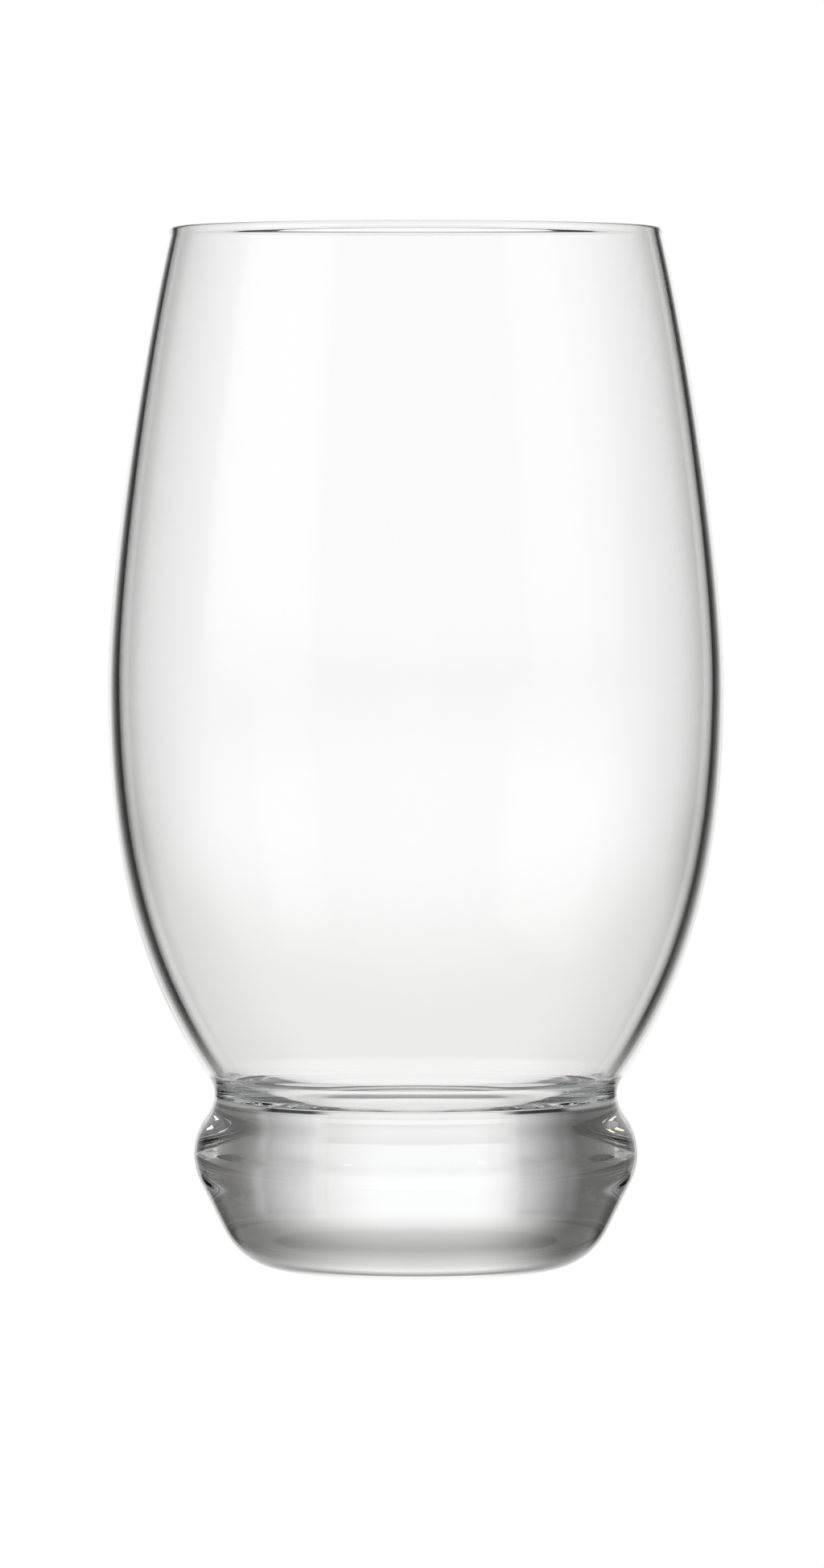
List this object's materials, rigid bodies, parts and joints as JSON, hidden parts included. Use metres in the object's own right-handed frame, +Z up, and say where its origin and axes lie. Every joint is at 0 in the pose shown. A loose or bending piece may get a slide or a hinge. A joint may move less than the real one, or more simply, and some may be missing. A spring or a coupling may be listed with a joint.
{
  "type": "tumbler",
  "caption": "Clear drinking tumbler: thin barrel-shaped bowl that narrows to the rim, welded at a waisted neck to a heavy solid foot with a tapered side and a flat standing ring.",
  "frame": {"origin": "centre of the standing ring, on the surface that the glass stands on", "axes": "+Z up along the glass's axis, towards the rim; X and Y are any two square directions across it"},
  "size_m": [0.0828, 0.0828, 0.14],
  "materials": {
    "bowl_glass": "clear, blown thin and fire-polished",
    "foot_glass": "clear, pressed solid and polished"
  },
  "bodies": {
    "root": {"bowl": "bowl_glass", "foot": "foot_glass"}
  },
  "joints": []
}
